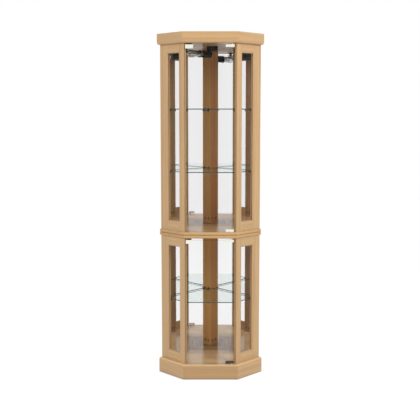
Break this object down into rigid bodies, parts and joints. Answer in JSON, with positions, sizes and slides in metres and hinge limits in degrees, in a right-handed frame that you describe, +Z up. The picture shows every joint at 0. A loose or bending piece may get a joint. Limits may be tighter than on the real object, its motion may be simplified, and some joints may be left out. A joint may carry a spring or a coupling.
{
  "type": "corner curio cabinet",
  "caption": "Tall five-sided corner display cabinet of two stacked glazed units with mirrored backs, glass shelves, hinged glass doors and a lamp.",
  "frame": {"origin": "middle of the base of the bounding box, on the floor", "axes": "+Z up, the doors face -Y, the two backs meet at +Y"},
  "size_m": [0.5562, 0.4124, 1.8],
  "materials": {
    "oak_laminate": "satin light oak laminate",
    "clear_glass": "clear, polished edges",
    "shelf_glass": "clear, green edges",
    "mirror_glass": "silvered",
    "hardboard": "raw hardboard",
    "black_plastic": "matte",
    "lamp_black": "gloss",
    "bulb_glass": "clear",
    "rubber": "matte",
    "nylon": "matte",
    "bright_metal": "bright nickel",
    "steel": "zinc plated"
  },
  "bodies": {
    "carcass": {"cable_grommet": "rubber", "cornice_front": "oak_laminate", "cornice_left": "oak_laminate", "cornice_rear_rails": "oak_laminate", "cornice_right": "oak_laminate", "glide_feet": "black_plastic", "hinge_bushes": "nylon", "lamp_base": "lamp_black", "lamp_bulb": "bulb_glass", "lamp_socket": "lamp_black", "latch_bodies": "black_plastic", "lower_back_boards": "hardboard", "lower_centre_post": "oak_laminate", "lower_floor_panel": "oak_laminate", "lower_left_front_stile": "oak_laminate", "lower_left_mirror": "mirror_glass", "lower_left_post": "oak_laminate", "lower_left_rails": "oak_laminate", "lower_left_rear_stile": "oak_laminate", "lower_left_window_glass": "clear_glass", "lower_right_front_stile": "oak_laminate", "lower_right_mirror": "mirror_glass", "lower_right_post": "oak_laminate", "lower_right_rails": "oak_laminate", "lower_right_rear_stile": "oak_laminate", "lower_right_window_glass": "clear_glass", "lower_shelf": "shelf_glass", "lower_top_panel": "oak_laminate", "plinth_front": "oak_laminate", "plinth_left": "oak_laminate", "plinth_rear_rails": "oak_laminate", "plinth_right": "oak_laminate", "shelf_supports": "black_plastic", "stacking_bolts": "steel", "upper_back_boards": "hardboard", "upper_centre_post": "oak_laminate", "upper_floor_panel": "oak_laminate", "upper_left_front_stile": "oak_laminate", "upper_left_mirror": "mirror_glass", "upper_left_post": "oak_laminate", "upper_left_rails": "oak_laminate", "upper_left_rear_stile": "oak_laminate", "upper_left_window_glass": "clear_glass", "upper_right_front_stile": "oak_laminate", "upper_right_mirror": "mirror_glass", "upper_right_post": "oak_laminate", "upper_right_rails": "oak_laminate", "upper_right_rear_stile": "oak_laminate", "upper_right_window_glass": "clear_glass", "upper_shelf_high": "shelf_glass", "upper_shelf_low": "shelf_glass", "upper_top_panel": "oak_laminate"},
    "lower_door": {"lower_door_glass": "clear_glass", "lower_door_hinges": "bright_metal", "lower_door_strike": "bright_metal"},
    "upper_door": {"upper_door_glass": "clear_glass", "upper_door_hinges": "bright_metal", "upper_door_strike": "bright_metal"},
    "lower_plunger": {"lower_latch_plunger": "bright_metal"},
    "upper_plunger": {"upper_latch_plunger": "bright_metal"}
  },
  "joints": [
    {"name": "lower_door_hinge", "type": "hinge", "parent": "carcass", "child": "lower_door", "pos_m": [0.1105, -0.18275, 0.4125], "axis": [0, 0, 1], "range_deg": [0, 110]},
    {"name": "upper_door_hinge", "type": "hinge", "parent": "carcass", "child": "upper_door", "pos_m": [0.1105, -0.18275, 1.262], "axis": [0, 0, 1], "range_deg": [0, 110]},
    {"name": "lower_latch_press", "type": "slide", "parent": "carcass", "child": "lower_plunger", "axis": [0, 1, 0], "range_m": [0, 0.003], "stiffness_N_per_m": 1500},
    {"name": "upper_latch_press", "type": "slide", "parent": "carcass", "child": "upper_plunger", "axis": [0, 1, 0], "range_m": [0, 0.003], "stiffness_N_per_m": 1500}
  ]
}
